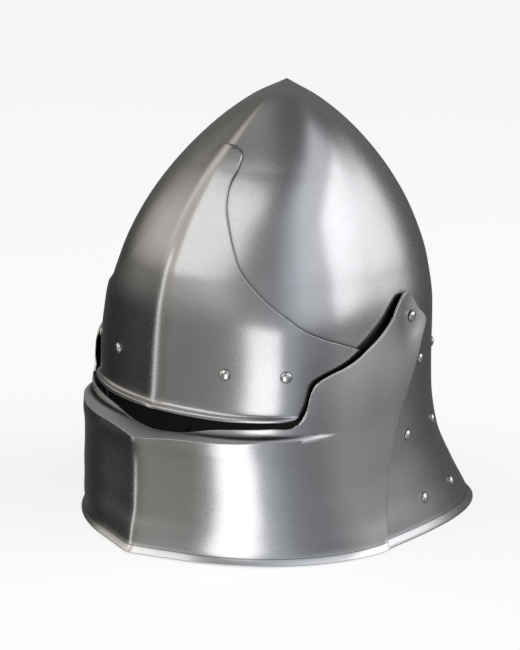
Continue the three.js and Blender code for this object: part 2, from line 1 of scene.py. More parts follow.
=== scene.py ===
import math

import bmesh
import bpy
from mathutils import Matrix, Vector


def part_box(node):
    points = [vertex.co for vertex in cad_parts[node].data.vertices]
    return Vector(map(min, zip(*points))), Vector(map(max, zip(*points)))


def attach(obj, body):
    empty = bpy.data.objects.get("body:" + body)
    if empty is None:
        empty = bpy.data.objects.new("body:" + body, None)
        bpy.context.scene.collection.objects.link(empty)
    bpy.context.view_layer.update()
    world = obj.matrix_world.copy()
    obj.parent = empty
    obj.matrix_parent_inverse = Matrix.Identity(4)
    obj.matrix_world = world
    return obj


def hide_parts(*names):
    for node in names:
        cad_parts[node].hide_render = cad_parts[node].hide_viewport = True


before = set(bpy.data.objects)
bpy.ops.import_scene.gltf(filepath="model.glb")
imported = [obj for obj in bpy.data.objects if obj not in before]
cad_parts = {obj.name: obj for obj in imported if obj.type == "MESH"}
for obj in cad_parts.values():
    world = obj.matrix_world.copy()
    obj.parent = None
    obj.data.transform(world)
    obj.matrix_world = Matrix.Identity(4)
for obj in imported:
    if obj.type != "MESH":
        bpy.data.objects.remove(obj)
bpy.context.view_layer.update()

# %% [markdown]
# # A sallet with a pivoting visor
# This is a late medieval fighting helmet. A pointed skull carries a riveted brow plate, and a deep
# visor turns on two rivets at the temples. The lesson raises each plate as one smooth sheet, cuts it to
# its outline, rivets the sheets together and gives them a satin-polished finish.

MM = 0.001

# %% [markdown]
# ## Main sizes
# A smith fits a helmet to a head and its padding, so a few sizes set everything: how high, how wide and
# how deep the skull is, and how thick the plate. They are in millimetres, as a maker measures them, and
# become Blender's metres only when a mesh is built.

# %% Main sizes
HEIGHT = 334
TEMPLE_HALF_WIDTH = 108.3
FOREHEAD_REACH = 118.5
NAPE_REACH = 135.5
POINT_BACK = 17.4
PLATE = 1.6
FIT_GAP = 0.3
print("the skull is", 2 * TEMPLE_HALF_WIDTH, "mm wide and", HEIGHT, "mm high")

# %% [markdown]
# ## Templates of the skull
# A smith checks a bowl with cut-out templates, one for each height. Each row of this table is such a
# template. It holds shares of the main sizes, so the whole bowl follows when a size changes. Points
# pushed about by hand would also give a bowl, but its long reflections would wobble.

# %% Templates of the skull
def table(names, rows):
    """Named columns from rows of numbers."""
    return dict(zip(names.split(), zip(*rows)))


SKULL = table("level width front back centre fullness", [
    (0, 1.2, 1, 1.475, 0, 2),
    (0.0165, 1.164, 1, 1.436, 0, 2),
    (0.0185, 1.162, 1, 1.433, 0, 2),
    (0.03, 1.152, 1, 1.413, 0, 2),
    (0.1, 1.087, 1, 1.285, 0, 2.15),
    (0.2, 1.02, 1, 1.125, 0, 2.4),
    (0.3, 0.998, 1, 1.042, 0, 2.8),
    (0.4, 1, 0.994, 1, 0, 2.9),
    (0.5, 0.988, 0.99, 0.978, 0.06, 2.82),
    (0.6, 0.919, 0.958, 0.941, 0.17, 2.75),
    (0.7, 0.813, 0.858, 0.832, 0.33, 2.8),
    (0.8, 0.665, 0.678, 0.65, 0.52, 2.8),
    (0.89, 0.468, 0.429, 0.415, 0.72, 2.6),
    (0.96, 0.232, 0.19, 0.178, 0.9, 2.2),
    (1, 0, 0, 0, 1, 2),
])
print(len(SKULL["level"]), "templates from the rim to the point")


# %% [markdown]
# ## Curves between the templates
# Between two templates the steel runs on smoothly. A plain spline swings past its points and would leave
# a dent beside each bulge. This one has no slope where its column turns round, so it never leaves the
# range of the two rows beside it.

# %% Curves between the templates
def curve(rows, along, column):
    """A smooth curve through one column of a table that doesn't overshoot its rows."""
    x, y = rows[along], rows[column]
    slope = [(y[i + 1] - y[i]) / (x[i + 1] - x[i]) for i in range(len(x) - 1)]
    tangent = [slope[0]]
    for a, b in zip(slope, slope[1:]):
        tangent.append(0 if a * b <= 0 else 2 * a * b / (a + b))
    tangent.append(slope[-1])

    def at(value):
        value = min(max(value, x[0]), x[-1])
        i = next((k for k in range(len(slope)) if x[k + 1] > value), len(slope) - 1)
        step = x[i + 1] - x[i]
        t = (value - x[i]) / step
        bend = tangent[i] * (1 - t) - tangent[i + 1] * t + slope[i] * (2 * t - 1)
        return y[i] + (y[i + 1] - y[i]) * t + t * (1 - t) * step * bend

    return at


skull_width, skull_front, skull_back, skull_centre, skull_fullness = (
    curve(SKULL, "level", name) for name in ("width", "front", "back", "centre", "fullness"))
print("half-way up, the skull is", round(2 * TEMPLE_HALF_WIDTH * skull_width(0.5), 1), "mm wide")


# %% [markdown]
# ## The form of the skull
# Every point of the bowl is given by a turn round the head and a height. The turn is 0 on the middle
# line in front, 1 at the side and 2 at the back. A ridge with a softened crest runs down the middle,
# because hammering can stiffen a plate with a crease but never leaves it knife-sharp.

# %% The form of the skull
SKULL_RIDGE = 14
SKULL_RIDGE_REACH = 85
TAIL_RIDGE = 3.4
TAIL_RIDGE_REACH = 35
RIDGE_FADE = 60
RIDGE_SPREAD = 0.8
CREST = 1.2
BACK_FULLNESS = 3.15


def quarter(turn, half_width, reach, fullness, ridge, ridge_reach, crest):
    """One quarter of a section: how far across and how far along, with a ridge of that crest radius."""
    angle = turn * math.pi / 2
    across = half_width * abs(math.sin(angle)) ** (2 / fullness)
    along = (reach - ridge) * abs(math.cos(angle)) ** (2 / fullness)
    from_crest = math.hypot(across, crest) - crest
    return across, along + ridge * max(0, 1 - from_crest / ridge_reach) ** 2


def skull_point(turn, height):
    level = height / HEIGHT
    fade = min(1, (HEIGHT - height) / RIDGE_FADE)
    half_width = TEMPLE_HALF_WIDTH * skull_width(level)
    centre = POINT_BACK * skull_centre(level)
    if abs(turn) <= 1:
        reach = max(min(SKULL_RIDGE_REACH, half_width * RIDGE_SPREAD), PLATE)
        across, along = quarter(
            abs(turn), half_width, FOREHEAD_REACH * skull_front(level), skull_fullness(level),
            SKULL_RIDGE * fade, reach, CREST * fade)
        return Vector((math.copysign(across, turn), centre - along, height))
    reach = max(min(TAIL_RIDGE_REACH, half_width * RIDGE_SPREAD), PLATE)
    across, along = quarter(
        2 - abs(turn), half_width, NAPE_REACH * skull_back(level), BACK_FULLNESS, TAIL_RIDGE * fade,
        reach, CREST * fade)
    return Vector((math.copysign(across, turn), centre + along, height))


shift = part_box("skull")[1][1] / MM - NAPE_REACH * SKULL["back"][0]
print("the form stands", round(shift, 2), "mm along Y from the model's origin")

# %% [markdown]
# ## Standing off from the skull
# The other plates and all the rivets sit a known distance outside the skull. That distance is taken
# straight out of the surface, because a copy of the skull that is only scaled up would touch it in some
# places and gape in others.

# %% Standing off from the skull
STEP_ROUND, STEP_UP, BELOW_POINT = 0.01, 0.5, 0.01


def normal_of(surface, turn, height):
    """The way out of a form, from its slope round the head and its slope upwards."""
    low, high = max(height - STEP_UP, 0), min(height + STEP_UP, HEIGHT - BELOW_POINT)
    round_head = surface(turn + STEP_ROUND, height) - surface(turn - STEP_ROUND, height)
    return round_head.cross(surface(turn, high) - surface(turn, low)).normalized()


def beside_skull(turn, height, out):
    return skull_point(turn, height) + normal_of(skull_point, turn, height) * out


print("a plate on the brow lies at Y", round(beside_skull(0, HEIGHT / 2, FIT_GAP + PLATE).y, 1), "mm")

# %% [markdown]
# ## Templates of the visor
# Below the sight the visor has a form of its own and stands well out from the face. Its ledge and its
# arms follow the skull instead, at a distance that lets them pass over the brow plate as the visor is
# raised. So one table holds the face by its height, one the arms by their turn round the head, and one
# the way in which the arms close in on the pivots.

# %% Templates of the visor
VISOR_REACH = 136.5
VISOR_RIDGE = 7
VISOR_RIDGE_REACH = 38
VISOR_CREST = 2.6
SIGHT_END = 104.5
PIVOT_BACK = 41
PIVOT_HEIGHT = 168
ARM_CLEARANCE = 7.8
VISOR_FACE = table("level reach fullness side", [
    (0, 1.062, 1.85, 0.54),
    (0.0175, 1.032, 1.92, 0.5),
    (0.0195, 1.03, 1.92, 0.5),
    (0.055, 1.017, 2.05, 0.52),
    (0.095, 1, 2.2, 0.62),
    (0.15, 1.002, 2.32, 0.82),
    (0.2, 1.01, 2.35, 1),
    (0.225, 1.018, 2.37, 1),
    (0.26, 1.037, 2.4, 1),
    (1, 1.04, 2.4, 1),
])
VISOR_ROUND = table("turn ledge foot clearance", [
    (0, 0.833, 0.845, 0.5),
    (0.13, 0.864, 0.872, 0.8),
    (0.27, 0.876, 0.89, 1.08),
    (0.4, 0.886, 0.905, 1.15),
    (0.53, 0.903, 0.92, 1.08),
    (0.62, 0.903, 0.925, 1),
    (0.8, 0.898, 0.92, 0.95),
    (1, 0.898, 0.92, 0.95),
    (2, 0.898, 0.92, 0.95),
])
PIVOT_ROUND = table("distance clearance", [
    (0, 0.46),
    (0.05, 0.5),
    (0.12, 0.76),
    (0.2, 0.95),
    (0.3, 1),
    (4, 1),
])
visor_reach, visor_fullness, visor_side = (
    curve(VISOR_FACE, "level", name) for name in ("reach", "fullness", "side"))
ledge_level, foot_level, round_clearance = (
    curve(VISOR_ROUND, "turn", name) for name in ("ledge", "foot", "clearance"))
pivot_clearance = curve(PIVOT_ROUND, "distance", "clearance")
print("the visor reaches", round(VISOR_REACH * visor_reach(0), 1), "mm forward at its rim")


# %% [markdown]
# ## The form of the visor
# The face is built from quarters like the skull, but its side isn't free: it has to run into the arm that
# lies beside the skull. So the face takes its half width from the arm at the same height, and the two
# meet without a step.

# %% The form of the visor
def arm_clearance(turn, height):
    below = skull_point(turn, height)
    distance = math.hypot(below.y - PIVOT_BACK, height - PIVOT_HEIGHT)
    share = round_clearance(abs(turn)) * visor_side(height / HEIGHT)
    return ARM_CLEARANCE * share * pivot_clearance(distance / PIVOT_HEIGHT)


def arm_point(turn, height):
    return beside_skull(turn, height, arm_clearance(turn, height))


def visor_face_point(turn, height):
    if abs(turn) >= 1:
        return arm_point(turn, height)
    level = height / HEIGHT
    across, along = quarter(
        abs(turn), arm_point(1, height).x, VISOR_REACH * visor_reach(level), visor_fullness(level),
        VISOR_RIDGE, VISOR_RIDGE_REACH, VISOR_CREST)
    return Vector((math.copysign(across, turn), -along, height))


print("the arm stands", round(arm_clearance(1, PIVOT_HEIGHT), 1), "mm off the skull at the temple")

# %% [markdown]
# ## Steels by name
# A polished plate is left rough inside, so each plate has two materials: the visor keeps a rough ground
# face there, and inside the skull and the brow plate the colour is painted almost black as painted shade.
# They are named before the first sheet exists, because a cut keeps the difference between outside and
# inside only if the mesh already knows both.

# %% Steels by name
plate_steel, visor_steel, inner_steel, lining_steel, rivet_steel = (
    bpy.data.materials.new(name)
    for name in ("satin_plate", "satin_visor", "inside_painted_shade", "unpolished_plate", "polished_rivet"))
OUTSIDE, INSIDE = 0, 1
print("materials:", ", ".join(material.name for material in bpy.data.materials))


# %% [markdown]
# ## Raising a plate
# A real plate is raised from flat sheet over a stake. Here a flat grid is laid over the form, point by
# point. It starts a little below the rim, so that it can be trimmed level later, and its points are
# merged where they meet, at the skull's tip and down the back.

# %% Raising a plate
TRIM = 3
MERGE = 0.001


def raise_plate(columns, rows, place):
    """A sheet from a grid: place gives the point for a share across and a share up. Metres from here."""
    bm = bmesh.new()
    bmesh.ops.create_grid(bm, x_segments=columns, y_segments=rows, size=0.5)
    for vert in bm.verts:
        vert.co = (place(vert.co.x + 0.5, vert.co.y + 0.5) + Vector((0, shift, 0))) * MM
    bmesh.ops.remove_doubles(bm, verts=bm.verts, dist=MERGE * MM)
    return bm


print("a plate is raised", TRIM, "mm too long")


# %% [markdown]
# ## Thickness and trim
# The sheet is the outer face of the plate. Solidify adds the inner face and the walls between them, and a
# cut through a level plane trims the bottom to a clean flat rim. A Solidify modifier would do the first
# half, but the trim needs the finished wall.

# %% Thickness and trim
def thicken(bm, bottom):
    """Gives the sheet its thickness, inwards, and trims it level at the bottom."""
    outside = len(bm.faces)
    bmesh.ops.recalc_face_normals(bm, faces=bm.faces)
    bmesh.ops.solidify(bm, geom=bm.faces[:], thickness=PLATE * MM)
    bm.faces.ensure_lookup_table()
    for face in bm.faces[outside:]:
        face.material_index = INSIDE
    cut = bmesh.ops.bisect_plane(
        bm, geom=bm.verts[:] + bm.edges[:] + bm.faces[:], plane_co=(0, 0, bottom * MM),
        plane_no=(0, 0, 1), clear_inner=True)
    edges = [item for item in cut["geom_cut"] if isinstance(item, bmesh.types.BMEdge)]
    bmesh.ops.triangle_fill(bm, edges=edges, use_beauty=True)
    bmesh.ops.recalc_face_normals(bm, faces=bm.faces)
    print("open edges:", sum(not edge.is_manifold for edge in bm.edges))
    return bm


def to_object(name, bm, *materials):
    mesh = bpy.data.meshes.new(name)
    for material in materials:
        mesh.materials.append(material)
    bm.to_mesh(mesh)
    bm.free()
    piece = bpy.data.objects.new(name, mesh)
    bpy.context.collection.objects.link(piece)
    return piece


print("a plate is", PLATE, "mm thick")

# %% [markdown]
# ## Cutting a plate
# Shears cut a raised plate to its outline. Here a flat outline is drawn as a curve and pushed through the
# plate as a prism, and a Boolean keeps or removes what lies inside it. The grid could follow the outline
# instead, but its rows would bend with every corner, and the polish would show them.

# %% Cutting a plate
ACROSS = Matrix(((0, 0, 1, 0), (1, 0, 0, 0), (0, 1, 0, 0), (0, 0, 0, 1)))
THROUGH = Matrix.Rotation(math.pi / 2, 4, "X")
FAR = 500
CURVE_STEPS = 8


def prism(points, turned):
    """A long prism through an outline. Each point is (across, up, smooth), and turned stands it up."""
    outline = bpy.data.curves.new("outline", "CURVE")
    outline.dimensions, outline.fill_mode, outline.extrude = "2D", "BOTH", FAR
    outline.resolution_u = CURVE_STEPS
    spline = outline.splines.new("BEZIER")
    spline.bezier_points.add(len(points) - 1)
    spline.use_cyclic_u = True
    for point, (across, up, smooth) in zip(spline.bezier_points, points):
        point.co = (across, up, 0)
        point.handle_left_type = point.handle_right_type = "AUTO" if smooth else "VECTOR"
    flat = bpy.data.objects.new("outline", outline)
    bpy.context.collection.objects.link(flat)
    bpy.context.view_layer.update()
    bm = bmesh.new()
    bm.from_mesh(flat.to_mesh())
    bmesh.ops.remove_doubles(bm, verts=bm.verts, dist=MERGE)
    bmesh.ops.recalc_face_normals(bm, faces=bm.faces)
    stand = Matrix.Scale(MM, 4) @ Matrix.Translation((0, shift, 0)) @ turned
    bmesh.ops.transform(bm, matrix=stand, verts=bm.verts)
    bpy.data.objects.remove(flat)
    return to_object("cutter", bm)


def carve(piece, cutter, operation):
    """Cuts the piece with the cutter for good, and throws the cutter away."""
    cut = piece.modifiers.new("cut", "BOOLEAN")
    cut.object, cut.operation, cut.solver = cutter, operation, "EXACT"
    bpy.context.view_layer.update()
    evaluated = piece.evaluated_get(bpy.context.evaluated_depsgraph_get())
    done = bpy.data.meshes.new_from_object(evaluated)
    piece.modifiers.clear()
    piece.data = done
    bpy.data.objects.remove(cutter)


print("cutters reach", FAR, "mm each way")

# %% [markdown]
# ## Seating a finished plate
# A plate is smooth, but its cut edges are crisp. Shading is smooth up to a limit angle, beyond which an
# edge stays sharp. Then the piece is told which body it rides on, and the solid of the model that it
# dresses is hidden.

# %% Seating a finished plate
SHARP_EDGE = 40


def finish_plate(piece, node, body):
    """Smooths the plate between its creases and seats it in the model."""
    piece.data.shade_smooth()
    piece.data.set_sharp_from_angle(angle=math.radians(SHARP_EDGE))
    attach(piece, body)
    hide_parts(node)
    print(node, sum(len(face.vertices) - 2 for face in piece.data.polygons), "triangles")


print("edges over", SHARP_EDGE, "degrees stay sharp")

# %% [markdown]
# ## Finding a place on the skull
# A smith marks a rivet's place by how far across or how far back it lies, and how high. The turn round
# the head that belongs to it is found by halving the range again and again. The rivet is then stood
# upright on the surface there, so that its head sits flat.

# %% Finding a place on the skull
SEATING = 0.05
PEEN_GAP = 0.6
HALVINGS = 40


def turn_where(height, measure, wanted, low, high):
    """The turn at which the skull reaches a wanted measure."""
    for _ in range(HALVINGS):
        middle = (low + high) / 2
        if measure(skull_point(middle, height)) < wanted:
            low = middle
        else:
            high = middle
    return (low + high) / 2


def seat(point, direction):
    turned = Vector((0, 0, 1)).rotation_difference(direction).to_matrix().to_4x4()
    return Matrix.Translation((point + Vector((0, shift, 0))) * MM) @ turned


def on_skull(turn, height, stack):
    """A rivet's place on a stack of plates that thick over the skull, and its grip."""
    out = stack + SEATING
    place = seat(beside_skull(turn, height, out), normal_of(skull_point, turn, height))
    return place, out + PLATE + PEEN_GAP


print("a rivet's head floats", SEATING, "mm over its plate")

# %% [markdown]
# ## Rivet places
# Two rivets a side hold the brow plate on the skull. Six more a side held the lining at the nape. The
# pivots are two rivets through the visor's arms. Each place is worked out once, with the length that the
# rivet grips, so that the holes and the rivets share it.

# %% Rivet places
PIVOT_PLAY = 0.7
BROW_RIVETS = {"inner": (0.46, 0.409), "outer": (0.8, 0.414)}
NAPE_RIVETS = {
    "upper_side": (0.478, 0.391), "upper_back": (0.79, 0.399), "middle_side": (0.358, 0.222),
    "middle_back": (0.714, 0.226), "lower_side": (0.46, 0.071), "lower_back": (0.83, 0.072)}

rivets = {}
for side, sign in (("left", 1), ("right", -1)):
    for name, (out, up) in BROW_RIVETS.items():
        turn = turn_where(up * HEIGHT, lambda p: p.x, out * TEMPLE_HALF_WIDTH, 0, 1) * sign
        rivets[f"rivet_brow_{name}_{side}"] = on_skull(turn, up * HEIGHT, FIT_GAP + PLATE)
    for name, (back, up) in NAPE_RIVETS.items():
        turn = turn_where(up * HEIGHT, lambda p: p.y, back * NAPE_REACH, 1, 2) * sign
        rivets[f"rivet_nape_{name}_{side}"] = on_skull(turn, up * HEIGHT, 0)
    turn = turn_where(PIVOT_HEIGHT, lambda p: p.y, PIVOT_BACK, 1, 2)
    out = arm_point(turn, PIVOT_HEIGHT).x + PIVOT_PLAY
    grip = arm_clearance(turn, PIVOT_HEIGHT) + PIVOT_PLAY + PLATE + 2 * PEEN_GAP
    place = Vector((sign * out, PIVOT_BACK, PIVOT_HEIGHT))
    rivets[f"rivet_pivot_{side}"] = (seat(place, Vector((sign, 0, 0))), grip)
print(len(rivets), "rivets")

# %% [markdown]
# ## Drilling
# A rivet's shank passes through a hole that is a little wider than itself. All the holes of a plate are
# cut at once, with one mesh that holds a drill for each rivet, which is quicker than a Boolean a hole.

# %% Drilling
SHANK_RADIUS = 1.9
DRILL_SIDES = 24
DRILL_LENGTH = 20


def drill(piece, names):
    """Drills the rivets' holes in a plate."""
    bm = bmesh.new()
    radius = (SHANK_RADIUS + FIT_GAP) * MM
    for name in names:
        bmesh.ops.create_cone(
            bm, cap_ends=True, segments=DRILL_SIDES, radius1=radius, radius2=radius,
            depth=DRILL_LENGTH * MM, matrix=rivets[name][0])
    carve(piece, to_object("drill", bm), "DIFFERENCE")


print("holes are", round(2 * (SHANK_RADIUS + FIT_GAP), 1), "mm wide")

# %% [markdown]
# ## Skull
# The skull is raised from one sheet: a pointed bowl that runs down into the flared tail. It needs the
# finest grid, because long reflections run over it from the rim to the point. The face is cut out under
# the brow and between the cheeks, with round inner corners as a smith leaves them against tearing.

# %% Skull
SKULL_COLUMNS, SKULL_ROWS = 192, 110
CHEEK_FORWARD = 65
FACE_TOP = 117
FACE_CORNER = 22
CORNER_CUT = 0.26 * FACE_CORNER

bm = raise_plate(SKULL_COLUMNS, SKULL_ROWS, lambda across, up: skull_point(
    4 * across - 2, up * (HEIGHT + TRIM) - TRIM))
skull = to_object("skull_plate", thicken(bm, 0), plate_steel, inner_steel)
carve(skull, prism([
    (-FAR, -FAR, False), (-CHEEK_FORWARD, -FAR, False), (-CHEEK_FORWARD, FACE_TOP - FACE_CORNER, False),
    (-CHEEK_FORWARD - CORNER_CUT, FACE_TOP - CORNER_CUT, True),
    (-CHEEK_FORWARD - FACE_CORNER, FACE_TOP, False), (-FAR, FACE_TOP, False),
], ACROSS), "DIFFERENCE")
drill(skull, list(rivets))
finish_plate(skull, "skull", "helmet")

# %% [markdown]
# ## Brow plate
# The brow plate doubles the skull where blows land. It lies on the skull with hardly a gap, and its lower
# edge is turned outwards, so that a point slides off before it reaches the sight. The lip is shaped with
# the sheet, as rows that leave the skull, because an edge that is added later never flows so well.

# %% Brow plate
BROW_COLUMNS, FLANGE_ROWS, BROW_ROWS = 128, 16, 90
BROW_TOP = 296
FLANGE_TOP = 113
FLANGE_REACH = 7
FLANGE_ROUND = table("turn tip reach", [
    (0, 0.934, 1),
    (0.07, 0.92, 0.92),
    (0.2, 0.915, 0.85),
    (0.35, 0.925, 0.84),
    (0.5, 0.937, 0.78),
    (0.58, 0.943, 0.5),
    (0.65, 0.947, 0),
    (2, 0.947, 0),
])
LIP = table("share down out", [
    (0, 0, 0.93),
    (0.15, 0.08, 1),
    (0.3, 0.22, 0.98),
    (0.42, 0.3, 0.86),
    (0.6, 0.38, 0.5),
    (0.8, 0.55, 0.15),
    (1, 1, 0),
])
flange_tip, flange_reach = (curve(FLANGE_ROUND, "turn", name) for name in ("tip", "reach"))
lip_down, lip_out = (curve(LIP, "share", name) for name in ("down", "out"))


def brow_point(across, up):
    turn = 2 * across - 1
    row = up * (FLANGE_ROWS + BROW_ROWS)
    if row >= FLANGE_ROWS:
        height = FLANGE_TOP + (BROW_TOP - FLANGE_TOP) * (row - FLANGE_ROWS) / BROW_ROWS
        return beside_skull(turn, height, FIT_GAP + PLATE)
    down, out = lip_down(row / FLANGE_ROWS), lip_out(row / FLANGE_ROWS)
    tip = FLANGE_TOP * flange_tip(abs(turn))
    flare = max(FLANGE_REACH * flange_reach(abs(turn)) - FIT_GAP - PLATE, 0) * out
    return beside_skull(turn, tip + (FLANGE_TOP - tip) * down, FIT_GAP + PLATE + flare)


bm = raise_plate(BROW_COLUMNS, FLANGE_ROWS + BROW_ROWS, brow_point)
brow = to_object("brow_plate_sheet", thicken(bm, 0), plate_steel, inner_steel)

# %% [markdown]
# ## Outline of the brow plate
# From the front the plate rises in an S-curve to a rounded tip, and from the side it drops backwards to
# the temple. Two cuts are simpler to read than one outline wrapped round the bowl: the first is drawn
# as seen from the front, the second as seen from the side.

# %% Outline of the brow plate
BROW_BACK = 14.5
BROW_OUTLINE = table("height width", [
    (0.869, 0), (0.865, 0.062), (0.852, 0.124), (0.83, 0.152), (0.79, 0.168), (0.755, 0.21),
    (0.712, 0.29), (0.668, 0.375), (0.632, 0.45), (0.598, 0.55), (0.566, 0.66), (0.54, 0.765)])
BROW_SIDE = table("forward height", [
    (0.672, 0.541), (0.61, 0.517), (0.495, 0.494), (0.35, 0.476), (0.15, 0.451)])


def mirrored(half):
    """A whole outline from its right half, whose first point is on the middle line."""
    return half + [(-x, z, smooth) for x, z, smooth in half[:0:-1]]


half = [(w * TEMPLE_HALF_WIDTH, h * HEIGHT, True) for h, w in zip(*BROW_OUTLINE.values())]
half[-1] = (*half[-1][:2], False)
half += [(FAR, half[-1][1], False), (FAR, 0, False)]
carve(brow, prism(mirrored(half), THROUGH), "INTERSECT")
edge = [(-f * FOREHEAD_REACH, h * HEIGHT, True) for f, h in zip(*BROW_SIDE.values())]
edge[0] = (*edge[0][:2], False)
carve(brow, prism([
    (-FAR, 0, False), (-BROW_BACK, 0, False), (-BROW_BACK, edge[-1][1] - PLATE, False), *edge[::-1],
    (FAR, edge[0][1], False), (FAR, FAR, False), (-FAR, FAR, False),
], ACROSS), "INTERSECT")
drill(brow, [name for name in rivets if "brow" in name])
finish_plate(brow, "brow_plate", "helmet")

# %% [markdown]
# ## Visor
# The visor is one deep plate that guards the face and throat. Its wall stands out from the skull, turns
# in at the top as a nearly level ledge that forms the lower lip of the sight, and runs on upwards at the
# sides as two arms that close in on the skull towards the pivots. The grid's rows are shared out between
# these three, so that the bend between wall and ledge falls on a row and stays crisp.

# %% Visor
VISOR_COLUMNS, FACE_ROWS, LEDGE_ROWS, ARM_ROWS = 176, 30, 5, 40
ARM_TOP = 200
VISOR_TURNS = 4 / 3
VISOR_LIFT = 1


def visor_point(across, up):
    turn = VISOR_TURNS * (2 * across - 1)
    row = up * (FACE_ROWS + LEDGE_ROWS + ARM_ROWS)
    ledge = SIGHT_END * ledge_level(abs(turn))
    foot = SIGHT_END * foot_level(abs(turn))
    if row <= FACE_ROWS:
        return visor_face_point(turn, (ledge + TRIM) * row / FACE_ROWS - TRIM)
    if row <= FACE_ROWS + LEDGE_ROWS:
        share = (row - FACE_ROWS) / LEDGE_ROWS
        return visor_face_point(turn, ledge).lerp(arm_point(turn, foot), share)
    share = (row - FACE_ROWS - LEDGE_ROWS) / ARM_ROWS
    return arm_point(turn, foot + (ARM_TOP - foot) * share)


bm = raise_plate(VISOR_COLUMNS, FACE_ROWS + LEDGE_ROWS + ARM_ROWS, visor_point)
widest = max(vert.co.x for vert in bm.verts if vert.co.z > VISOR_LIFT * MM)
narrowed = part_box("visor")[1][0] / widest
bmesh.ops.scale(bm, vec=(narrowed, 1, 1), verts=bm.verts)
print("the sheet is narrowed to", round(narrowed, 4), "of its width, as wide as the model")
visor = to_object("visor_plate", thicken(bm, VISOR_LIFT), visor_steel, lining_steel)

# %% [markdown]
# ## Outline of the visor
# Seen from the side, one outline runs round the arm, over the pivot and down the back edge to the rim.
# Seen from the front, a second one opens the sight over the ledge. The sight is a real slot, because a
# dark line that is only painted on would never show the ledge's depth.

# %% Outline of the visor
ARM_FRONT = 77
VISOR_BACK = 2
ARM_EDGE = table("forward up", [
    (0.977, -0.934), (0.962, -0.775), (0.948, -0.638), (0.915, -0.545), (0.841, -0.465), (0.7, -0.385),
    (0.602, -0.32), (0.517, -0.244), (0.377, -0.118), (0.254, 0.031), (0.148, 0.205), (0.044, 0.291),
    (-0.026, 0.222), (-0.083, 0.087), (-0.158, -0.035), (-0.174, -0.093), (-0.158, -0.16)])
BACK_EDGE = table("back height", [
    (1.249, 0.862), (1.02, 0.752), (0.8, 0.648), (0.6, 0.54), (0.445, 0.44), (0.316, 0.338),
    (0.2, 0.21), (0.119, 0.1), (0.05, 0.04)])
SIGHT_EDGE = table("out height", [
    (0, 0.853), (0.165, 0.859), (0.275, 0.88), (0.42, 0.92), (0.6, 0.95), (0.775, 0.972), (0.895, 0.992)])

length, rise = PIVOT_BACK + ARM_FRONT, PIVOT_HEIGHT - SIGHT_END
arm = [(PIVOT_BACK - f * length, PIVOT_HEIGHT + up * rise, True) for f, up in zip(*ARM_EDGE.values())]
back = [(b * (PIVOT_BACK + VISOR_BACK) - VISOR_BACK, h * PIVOT_HEIGHT, True)
        for b, h in zip(*BACK_EDGE.values())]
carve(visor, prism([
    (-FAR, -FAR, False), (-VISOR_BACK, -FAR, False), (-VISOR_BACK, 0, False), *back[::-1], *arm[::-1],
    (-ARM_FRONT, SIGHT_END, False), (-FAR, SIGHT_END, False),
], ACROSS), "INTERSECT")
half = [(o * TEMPLE_HALF_WIDTH, h * SIGHT_END, True) for o, h in zip(*SIGHT_EDGE.values())]
half += [(half[-1][0], HEIGHT, False)]
carve(visor, prism(mirrored(half), THROUGH), "DIFFERENCE")
drill(visor, [name for name in rivets if "pivot" in name])
finish_plate(visor, "visor", "visor")


# %% [markdown]
# ## Rivets
# Each rivet has a domed head outside and is peened over inside. A profile of half its section is spun
# round its axis, because that is the shape which a round set leaves on a struck head. A sphere sunk into
# the plate would look alike from outside, but would hold nothing.

# %% Rivets
HEAD_RADIUS = 4.1
HEAD_HEIGHT = 2.1
PEEN_RADIUS = 3
PEEN_HEIGHT = 1.2
DOME_STEPS, PEEN_STEPS, SPIN_STEPS = 8, 6, 32
SHARP_RIM = 50


def arc(steps):
    """The sine and cosine along a quarter turn."""
    return [(math.sin(t), math.cos(t)) for t in (i * math.pi / 2 / steps for i in range(steps + 1))]


def rivet(name, place, grip):
    dome = [(HEAD_RADIUS * s, HEAD_HEIGHT * c) for s, c in arc(DOME_STEPS)]
    peen = [(PEEN_RADIUS * c, -grip - PEEN_HEIGHT * s) for s, c in arc(PEEN_STEPS)]
    profile = dome + [(SHANK_RADIUS, 0), (SHANK_RADIUS, -grip)] + peen
    bm = bmesh.new()
    verts = [bm.verts.new((radius * MM, 0, up * MM)) for radius, up in profile]
    edges = [bm.edges.new(pair) for pair in zip(verts, verts[1:])]
    bmesh.ops.spin(
        bm, geom=verts + edges, axis=(0, 0, 1), cent=(0, 0, 0), steps=SPIN_STEPS, angle=2 * math.pi,
        use_merge=True)
    bmesh.ops.remove_doubles(bm, verts=bm.verts, dist=MERGE * MM)
    bmesh.ops.recalc_face_normals(bm, faces=bm.faces)
    for face in bm.faces:
        face.material_index = INSIDE if face.calc_center_median().z < -PLATE * MM else OUTSIDE
    bmesh.ops.transform(bm, matrix=place, verts=bm.verts)
    piece = to_object(name + "_head", bm, rivet_steel, inner_steel)
    piece.data.shade_smooth()
    piece.data.set_sharp_from_angle(angle=math.radians(SHARP_RIM))
    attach(piece, "helmet")
    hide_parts(name)
    return piece


rivet_pieces = [rivet(name, *facts) for name, facts in rivets.items()]
print(len(rivet_pieces), "rivets of", len(rivet_pieces[0].data.polygons), "faces")


# %% [markdown]
# ## Effects as node groups
# Polished armour is never a perfect mirror. What several steels share is built once as a node group with
# named sockets, and each steel sets its own strength. These helpers make a group, a node and the wires
# between nodes. Each group puts out only a mask or a normal, so the shader itself stays in the material.

